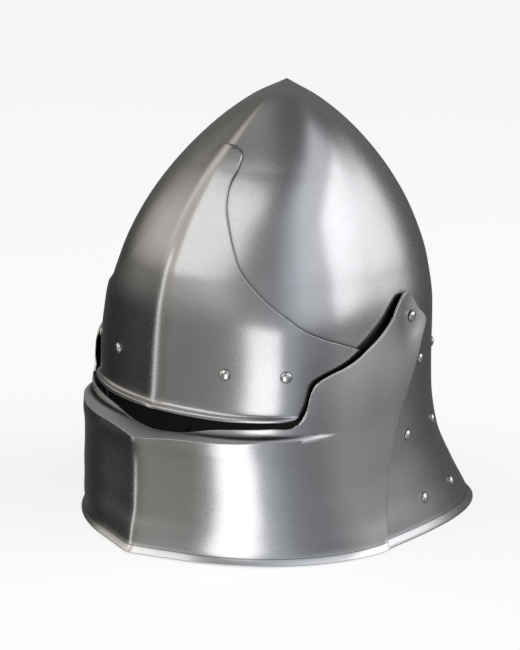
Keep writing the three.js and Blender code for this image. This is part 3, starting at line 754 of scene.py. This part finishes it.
# %% Effects as node groups
def node_group(name, inputs, outputs):
    """An empty group with named sockets. Each is (name, kind, default)."""
    group = bpy.data.node_groups.new(name, "ShaderNodeTree")
    for title, kind, default in inputs:
        socket = group.interface.new_socket(name=title, in_out="INPUT", socket_type="NodeSocket" + kind)
        if default is not None:
            socket.default_value = default
    for title, kind, _ in outputs:
        group.interface.new_socket(name=title, in_out="OUTPUT", socket_type="NodeSocket" + kind)
    print("group", name, "puts out", ", ".join(title for title, _, _ in outputs))
    return group, group.nodes.new("NodeGroupInput"), group.nodes.new("NodeGroupOutput")


def add(tree, kind, **sockets):
    """A node of that kind. Keywords set its properties, or its inputs if they end in _in."""
    node = tree.nodes.new("ShaderNode" + kind)
    for name, value in sockets.items():
        if name.endswith("_in"):
            node.inputs[name[:-3].replace("_", " ")].default_value = value
        else:
            setattr(node, name, value)
    return node


def join(tree, *wires):
    """Wires sockets together. Each wire is (node, output, node, input)."""
    for source, output, target, entry in wires:
        tree.links.new(source.outputs[output], target.inputs[entry])


# %% [markdown]
# ## Planishing waves
# A smith planishes a raised plate with light, overlapping blows, and some slow waviness is left under the
# polish. It makes the highlights swim a little. A low, broad noise on Object coordinates bends the
# normal, because the waves are far too shallow to be worth modelling.

# %% Planishing waves
waviness, given, put = node_group(
    "planishing_waves",
    [("Size", "Float", 22.0), ("Depth", "Float", 0.0002), ("Normal", "Vector", None)],
    [("Normal", "Vector", None)])
place = add(waviness, "TexCoord")
waves = add(waviness, "TexNoise", Detail_in=1.5, Roughness_in=0.4)
bump = add(waviness, "Bump", Strength_in=1.0)
join(waviness, (place, "Object", waves, "Vector"), (given, "Size", waves, "Scale"),
     (waves, "Fac", bump, "Height"), (given, "Depth", bump, "Distance"),
     (given, "Normal", bump, "Normal"), (bump, "Normal", put, "Normal"))

# %% [markdown]
# ## Polishing grain
# The last abrasive leaves fine lines that run round the helmet. A noise that is squeezed ten times in
# height gives such lines. It drives the roughness as well as the normal, because a scratched patch is
# both rougher and duller.

# %% Polishing grain
LINES_ROUND, LINES_UP = 260, 2600
grain, given, put = node_group(
    "polishing_grain",
    [("Depth", "Float", 0.00001), ("Normal", "Vector", None)],
    [("Mask", "Float", None), ("Normal", "Vector", None)])
place = add(grain, "TexCoord")
stretch = add(grain, "Mapping", vector_type="POINT", Scale_in=(LINES_ROUND, LINES_ROUND, LINES_UP))
lines = add(grain, "TexNoise", Scale_in=1.0, Detail_in=4.0, Roughness_in=0.6)
bump = add(grain, "Bump", Strength_in=1.0)
join(grain, (place, "Object", stretch, "Vector"), (stretch, "Vector", lines, "Vector"),
     (lines, "Fac", bump, "Height"), (given, "Depth", bump, "Distance"),
     (given, "Normal", bump, "Normal"), (lines, "Fac", put, "Mask"), (bump, "Normal", put, "Normal"))

# %% [markdown]
# ## Dressed edges and a painted highlight
# Every edge of armour is filed round, so that it doesn't cut its wearer, and it catches the light as a
# thin bright line. The Bevel node rounds the normal near an edge, and where that differs from the true
# normal there is an edge. There the colour is also lifted as a painted highlight. A real bevel would cost
# many faces for a line of half a millimetre.

# %% Dressed edges and a painted highlight
edges, given, put = node_group(
    "rounded_edges_highlight",
    [("Radius", "Float", 0.0008)],
    [("Mask", "Float", None), ("Normal", "Vector", None)])
rounded = add(edges, "Bevel", samples=6)
straight = add(edges, "NewGeometry")
compare = add(edges, "VectorMath", operation="DOT_PRODUCT")
spread = add(edges, "MapRange", From_Min_in=0.995, From_Max_in=0.9, To_Min_in=0.0, To_Max_in=1.0)
join(edges, (given, "Radius", rounded, "Radius"), (rounded, "Normal", compare, 0),
     (straight, "Normal", compare, 1), (compare, "Value", spread, "Value"),
     (spread, "Result", put, "Mask"), (rounded, "Normal", put, "Normal"))

# %% [markdown]
# ## Tarnish
# Bare steel takes on faint brownish patches wherever hands and damp reach it. A cloudy noise gives them
# soft borders, and a limit keeps most of the plate clean, because a polished helmet is well cared for.

# %% Tarnish
patches, given, put = node_group(
    "tarnish",
    [("Size", "Float", 30.0), ("Amount", "Float", 0.3)],
    [("Mask", "Float", None)])
place = add(patches, "TexCoord")
cloud = add(patches, "TexNoise", Detail_in=6.0, Roughness_in=0.62)
level = add(patches, "MapRange", From_Min_in=0.42, From_Max_in=0.75)
join(patches, (place, "Object", cloud, "Vector"), (given, "Size", cloud, "Scale"),
     (cloud, "Fac", level, "Value"), (given, "Amount", level, "To Max"), (level, "Result", put, "Mask"))

# %% [markdown]
# ## Painted shade in the joints
# Round the rivets and along the edge of the brow plate the colour is darkened as painted shade. Ambient
# occlusion over a few millimetres finds just those places, wherever the pieces lie, so nothing has to be
# painted by hand.

# %% Painted shade in the joints
joint_shade_group, given, put = node_group(
    "painted_joint_shade",
    [("Reach", "Float", 0.003), ("Amount", "Float", 0.8)],
    [("Mask", "Float", None)])
open_sky = add(joint_shade_group, "AmbientOcclusion", samples=16)
shut = add(joint_shade_group, "MapRange", From_Min_in=0.93, From_Max_in=0.6, To_Min_in=0.0)
join(joint_shade_group, (given, "Reach", open_sky, "Distance"), (open_sky, "AO", shut, "Value"),
     (given, "Amount", shut, "To Max"), (shut, "Result", put, "Mask"))

# %% [markdown]
# ## Turned rim, with a painted highlight and painted shade
# The rim of skull and visor is turned outwards as a narrow band, set off by a fine crease. The form has
# the turn already. The band is painted brighter than the plate as a painted highlight, and the crease is
# painted dark as painted shade. Both are found by their height over the rim, which is the same all the
# way round.

# %% Turned rim, with a painted highlight and painted shade
rim, given, put = node_group(
    "rim_highlight_crease_shade",
    [("Height", "Float", 0.0058), ("Crease", "Float", 0.0006)],
    [("Band", "Float", None), ("Line", "Float", None)])
place = add(rim, "TexCoord")
split = add(rim, "SeparateXYZ")
lowest = add(rim, "Math", operation="LESS_THAN")
above = add(rim, "Math", operation="SUBTRACT")
away = add(rim, "Math", operation="ABSOLUTE")
line = add(rim, "MapRange", interpolation_type="SMOOTHSTEP", To_Min_in=1.0, To_Max_in=0.0)
join(rim, (place, "Object", split, "Vector"), (split, "Z", lowest, 0), (given, "Height", lowest, 1),
     (split, "Z", above, 0), (given, "Height", above, 1), (above, "Value", away, 0),
     (away, "Value", line, "Value"), (given, "Crease", line, "From Max"),
     (lowest, "Value", put, "Band"), (line, "Result", put, "Line"))

# %% [markdown]
# ## Level places
# The ledge under the sight is awkward to reach with a wheel, so it is left duller than the wall below it.
# It is the one part of the visor that faces straight up, so the normal tells it apart. The normal is read
# in the piece's own space, so that the finish stays where it is when the visor is raised.

# %% Level places
level_places, given, put = node_group(
    "level_places",
    [("Amount", "Float", 1.0)],
    [("Mask", "Float", None)])
facing = add(level_places, "TexCoord")
split = add(level_places, "SeparateXYZ")
upward = add(level_places, "MapRange", interpolation_type="SMOOTHSTEP", From_Min_in=0.75, From_Max_in=0.95)
join(level_places, (facing, "Normal", split, "Vector"), (split, "Z", upward, "Value"),
     (given, "Amount", upward, "To Max"), (upward, "Result", put, "Mask"))

# %% [markdown]
# ## Lighter arms
# The visor's arms are painted lighter than the wall below. The lighter colour starts at a height and fades
# in over a few centimetres, without any border that the eye could find.

# %% Lighter arms
lighter_arms_group, given, put = node_group(
    "lighter_arms",
    [("From", "Float", 0.1), ("To", "Float", 0.15), ("Amount", "Float", 0.0)],
    [("Mask", "Float", None)])
place = add(lighter_arms_group, "TexCoord")
split = add(lighter_arms_group, "SeparateXYZ")
upwards = add(lighter_arms_group, "MapRange", interpolation_type="SMOOTHSTEP")
join(lighter_arms_group, (place, "Object", split, "Vector"), (split, "Z", upwards, "Value"),
     (given, "From", upwards, "From Min"), (given, "To", upwards, "From Max"),
     (given, "Amount", upwards, "To Max"), (upwards, "Result", put, "Mask"))


# %% [markdown]
# ## Laying colours over each other
# A finish is built up in layers: the bare steel first, then the stains, the painted highlight on the filed
# edges, the lighter arms, the painted highlight on the rim and painted shade in its crease, and the
# painted shade in the joints last of all. Each layer is one colour that a mask lays over what is already
# there.

# %% Laying colours over each other
# The first colour is painted shade for the joints, and the next paints the arms lighter. Of the factors,
# the edge and rim ones give painted highlights, and the crease one gives painted shade.
JOINT_SHADE = (0.02, 0.018, 0.016)
ARM_TONE = (0.93, 0.925, 0.92)
EDGE_HIGHLIGHT, RIM_HIGHLIGHT, CREASE_SHADE = 1.06, 1.12, 0.35


def use(tree, group, **inputs):
    """A group placed in a material, with its own values."""
    node = tree.nodes.new("ShaderNodeGroup")
    node.node_tree = group
    for name, value in inputs.items():
        node.inputs[name].default_value = value
    return node


def lit(tone, factor):
    return tuple(min(1, factor * value) for value in tone)


def lay(tree, mask, colour, under):
    """Lays a colour where the mask is white, over a plain tone or over what another layer puts out."""
    mix = add(tree, "Mix", data_type="RGBA")
    mix.inputs["B"].default_value = (*colour, 1)
    tree.links.new(mask, mix.inputs["Factor"])
    if isinstance(under, tuple):
        mix.inputs["A"].default_value = (*under, 1)
    else:
        tree.links.new(under, mix.inputs["A"])
    return mix.outputs["Result"]


# The colour of the painted shade in the joints.
print("joint_shade_colour is", JOINT_SHADE)


# %% [markdown]
# ## Steels
# The outside is bare steel, polished to a satin that spreads each highlight. The inside of the skull and
# the brow plate is left rough, and its colour is painted almost black as painted shade, which is why the
# sight looks black. Rivet heads are polished a little finer than the plates, because they are finished one
# by one.

# %% Steels
JOINT_SHADE_REACH, JOINT_SHADE_AMOUNT = 0.006, 0.9
SMOOTH_LINE, ROUGH_LINE = 0.88, 1.14


def steel(material, tone, stain, roughness, level_roughness, tarnish, wave_depth=0.0004,
          grain_depth=0.000012, edge_radius=0.0007, arm_lift=0.0, metallic=1.0):
    """Bare steel: its colour, the colour of its stains, and how smooth it is."""
    material.use_nodes = True
    tree = material.node_tree
    shader = tree.nodes["Principled BSDF"]
    shader.inputs["Metallic"].default_value = metallic
    stained = use(tree, patches, Amount=tarnish)
    edge_rounding_highlight = use(tree, edges, Radius=edge_radius)
    lighter_arms_mask = use(tree, lighter_arms_group, Amount=arm_lift)
    turned = use(tree, rim)
    joint_shaded = use(tree, joint_shade_group, Reach=JOINT_SHADE_REACH, Amount=JOINT_SHADE_AMOUNT)
    colour = lay(tree, stained.outputs["Mask"], stain, tone)
    # Painted highlight along the filed edges.
    colour = lay(tree, edge_rounding_highlight.outputs["Mask"], lit(tone, EDGE_HIGHLIGHT), colour)
    # The visor's arms are painted lighter above a height.
    colour = lay(tree, lighter_arms_mask.outputs["Mask"], ARM_TONE, colour)
    # Painted highlight on the rim band, then painted shade in the crease above it.
    colour = lay(tree, turned.outputs["Band"], lit(tone, RIM_HIGHLIGHT), colour)
    colour = lay(tree, turned.outputs["Line"], lit(tone, CREASE_SHADE), colour)
    # Painted shade in the joints and round the rivets, laid last.
    colour = lay(tree, joint_shaded.outputs["Mask"], JOINT_SHADE, colour)
    tree.links.new(colour, shader.inputs["Base Color"])
    waved = use(tree, waviness, Depth=wave_depth)
    grained = use(tree, grain, Depth=grain_depth)
    rough = add(tree, "MapRange", From_Min_in=0.3, From_Max_in=0.7, To_Min_in=roughness * SMOOTH_LINE,
                To_Max_in=roughness * ROUGH_LINE)
    ledge = use(tree, level_places)
    duller = add(tree, "Mix", data_type="FLOAT")
    duller.inputs["B"].default_value = level_roughness
    join(tree, (edge_rounding_highlight, "Normal", waved, "Normal"), (waved, "Normal", grained, "Normal"),
         (grained, "Normal", shader, "Normal"), (grained, "Mask", rough, "Value"),
         (ledge, "Mask", duller, "Factor"), (rough, "Result", duller, "A"),
         (duller, "Result", shader, "Roughness"))
    print(material.name, "is as rough as", roughness)


steel(plate_steel, (0.57, 0.57, 0.58), (0.44, 0.42, 0.41), 0.25, 0.25, 0.25)
steel(visor_steel, (0.66, 0.66, 0.665), (0.52, 0.50, 0.48), 0.26, 0.62, 0.25, arm_lift=0.9)
# The inside is painted almost black, and its reflections dimmed, as painted shade.
steel(inner_steel, (0.008, 0.0075, 0.007), (0.012, 0.009, 0.007), 0.75, 0.5, 0.6,
      grain_depth=0.00003, edge_radius=0.0005, metallic=0.0)
steel(lining_steel, (0.42, 0.41, 0.40), (0.3, 0.28, 0.26), 0.45, 0.5, 0.5,
      grain_depth=0.00003, edge_radius=0.0005)
steel(rivet_steel, (0.70, 0.70, 0.705), (0.5, 0.48, 0.46), 0.18, 0.5, 0.15,
      wave_depth=0.0001, grain_depth=0.000008, edge_radius=0.0003)
# Dims the inside's reflections, as part of the painted shade.
inner_steel.node_tree.nodes["Principled BSDF"].inputs["Specular IOR Level"].default_value = 0.15


# %% [markdown]
# ## Camera
# The helmet is seen from its left front and a little from above, with a long lens from a distance of
# about a metre and a half, which keeps the near side from swelling. The camera aims at a point inside
# the helmet, and is turned a little round its own axis.

# %% Camera
VIEW_AZIMUTH, VIEW_ELEVATION, VIEW_ROLL = 37.462, 13.643, math.radians(2.923)
VIEW_DISTANCE = 1.54843
AIM_HEIGHT = 146.9
SENSOR, LENS = 36, 112.67


def direction_at(azimuth, elevation):
    """The direction from the helmet, in degrees round from its front and up from the horizon."""
    turn, lift = math.radians(azimuth), math.radians(elevation)
    return Vector((math.sin(turn) * math.cos(lift), -math.cos(turn) * math.cos(lift), math.sin(lift)))


aim = Vector((0, shift, AIM_HEIGHT)) * MM
towards = direction_at(VIEW_AZIMUTH, VIEW_ELEVATION)
sideways = direction_at(VIEW_AZIMUTH + 90, 0)
upright = towards.cross(sideways)
right = sideways * math.cos(VIEW_ROLL) + upright * math.sin(VIEW_ROLL)
up = upright * math.cos(VIEW_ROLL) - sideways * math.sin(VIEW_ROLL)
axes = Matrix((right, up, towards)).transposed().to_4x4()
camera_data = bpy.data.cameras.new("camera")
camera_data.sensor_width, camera_data.lens = SENSOR, LENS
camera = bpy.data.objects.new("camera", camera_data)
camera.matrix_world = Matrix.Translation(aim + towards * VIEW_DISTANCE) @ axes
bpy.context.collection.objects.link(camera)
bpy.context.scene.camera = camera
print("camera at", [round(value, 3) for value in camera.location])

# %% [markdown]
# ## Soft boxes
# Polished metal shows its surroundings more than its own colour, so each lamp is placed by what a part of
# the helmet reflects. A tall box beside the camera draws the streak down the visor, one behind the
# shoulder lights the side of the skull, one hangs over the forehead, and a narrow one on the far side
# picks out the middle ridge.

# %% Soft boxes
LAMP_DISTANCE = 2.2


def soft_box(name, azimuth, elevation, width, height, radiance):
    """A soft box in that direction from the helmet, facing it."""
    away = direction_at(azimuth, elevation)
    data = bpy.data.lights.new(name, "AREA")
    data.shape, data.size, data.size_y = "RECTANGLE", width, height
    data.energy = radiance * math.pi * width * height
    lamp = bpy.data.objects.new(name, data)
    lamp.rotation_euler = away.to_track_quat("Z", "Y").to_euler()
    lamp.location = aim + away * LAMP_DISTANCE
    bpy.context.collection.objects.link(lamp)
    print(name, "gives", round(data.energy, 1), "W")


soft_box("beside_camera", 32, -24, 1.25, 2.3, 1.45)
soft_box("behind_shoulder", 133, 23, 1.6, 1.35, 1.0)
soft_box("over_forehead", -6, 42, 0.8, 2.2, 0.85)
soft_box("far_front", -44, 0, 0.45, 2.2, 1.1)

# %% [markdown]
# ## The room's light
# Between the lamps the steel mirrors the walls of the room. They are kept darker low down and behind,
# which sets the helmet's outline off against a pale floor. The table gives their light by azimuth, low
# and high, and how warm it is.

# %% The room's light
WARM_RED, WARM_BLUE = 0.05, 0.08
ROOM = table("azimuth low high warmth", [
    (-180, 0.1, 0.18, 0),
    (-130, 0.1, 0.22, 0.5),
    (-105, 0.04, 0.13, 1),
    (-90, 0.02, 0.6, 1),
    (-75, 0.02, 1.0, 1),
    (-60, 0.08, 0.65, 1),
    (-20, 0.2, 0.6, 1),
    (5, 0.26, 0.5, 0.6),
    (20, 0.32, 0.3, 0),
    (40, 0.38, 0.3, -0.6),
    (62, 0.46, 0.6, -1),
    (80, 0.25, 0.9, -0.8),
    (100, 0.2, 0.9, -0.5),
    (126, 0.33, 0.85, -0.3),
    (145, 0.3, 0.8, -0.3),
    (158, 0.13, 0.22, -0.4),
    (170, 0.1, 0.12, -0.4),
    (180, 0.1, 0.18, 0),
])
world = bpy.data.worlds.new("room")
bpy.context.scene.world = world
world.use_nodes = True
tree = world.node_tree
direction = add(tree, "TexCoord")
split = add(tree, "SeparateXYZ")
forward = add(tree, "Math", operation="MULTIPLY")
forward.inputs[1].default_value = -1
angle = add(tree, "Math", operation="ARCTAN2")
share = add(tree, "MapRange", From_Min_in=-math.pi, From_Max_in=math.pi)
join(tree, (direction, "Generated", split, "Vector"), (split, "Y", forward, 0), (split, "X", angle, 0),
     (forward, "Value", angle, 1), (angle, "Value", share, "Value"))


def room_ramp(column):
    """The room's light round the helmet at one height, from a column of its table."""
    ramp = add(tree, "ValToRGB")
    ramp.color_ramp.interpolation = "EASE"
    stops = ramp.color_ramp.elements
    stops.remove(stops[1])
    for i, (azimuth, light, warmth) in enumerate(zip(ROOM["azimuth"], ROOM[column], ROOM["warmth"])):
        stop = stops.new((azimuth + 180) / 360) if i else stops[0]
        stop.color = (light * (1 + WARM_RED * warmth), light, light * (1 - WARM_BLUE * warmth), 1)
    tree.links.new(share.outputs["Result"], ramp.inputs["Fac"])
    return ramp


low, high = room_ramp("low"), room_ramp("high")
print("the room is given at", len(ROOM["azimuth"]), "azimuths")

# %% [markdown]
# ## Low and high walls, and what the camera sees
# The two ramps are blended by how high a reflection looks, and a dim ceiling closes the room above. The
# camera itself should see a pale backdrop, not these walls. The Light Path node tells its rays apart from
# the reflected ones, so both can have what they need.

# %% Low and high walls, and what the camera sees
CEILING = (0.14, 0.14, 0.143)
BACKDROP = (0.93, 0.93, 0.93)
rise = add(tree, "MapRange", interpolation_type="SMOOTHSTEP", From_Min_in=-0.12, From_Max_in=0.42)
top = add(tree, "MapRange", interpolation_type="SMOOTHSTEP", From_Min_in=0.87, From_Max_in=0.99)
layers = add(tree, "Mix", data_type="RGBA")
room = tree.nodes["Background"]
seen = add(tree, "Background", Color_in=(*BACKDROP, 1), Strength_in=1.0)
path = add(tree, "LightPath")
mix = add(tree, "MixShader")
join(tree, (split, "Z", rise, "Value"), (split, "Z", top, "Value"), (rise, "Result", layers, "Factor"),
     (low, "Color", layers, "A"), (high, "Color", layers, "B"),
     (path, "Is Camera Ray", mix, "Fac"), (room, "Background", mix, 1), (seen, "Background", mix, 2),
     (mix, "Shader", tree.nodes["World Output"], "Surface"))
walls = lay(tree, top.outputs["Result"], CEILING, layers.outputs["Result"])
tree.links.new(walls, room.inputs["Color"])
print("the ceiling starts at", round(math.degrees(math.asin(top.inputs["From Min"].default_value))),
      "degrees")

# %% [markdown]
# ## Floor
# The helmet stands on pale paper. The paper shines a little by itself, so that it stays even out to the
# horizon. It casts no shadow, because the tall lamp reaches below it, and it isn't mirrored in the steel,
# whose low walls do that work.

# %% Floor
FLOOR_SIZE = 40
bm = bmesh.new()
bmesh.ops.create_grid(bm, x_segments=1, y_segments=1, size=FLOOR_SIZE)
floor = to_object("floor", bm)
floor.visible_glossy = floor.visible_shadow = False
paper = bpy.data.materials.new("pale_floor")
paper.use_nodes = True
shader = paper.node_tree.nodes["Principled BSDF"]
shader.inputs["Base Color"].default_value = (0.5, 0.5, 0.5, 1)
shader.inputs["Roughness"].default_value = 0.9
shader.inputs["Emission Color"].default_value = (1, 1, 1, 1)
shader.inputs["Emission Strength"].default_value = 0.68
floor.data.materials.append(paper)
bpy.context.scene.view_settings.view_transform = "Standard"
print("the floor reaches", FLOOR_SIZE, "m each way")
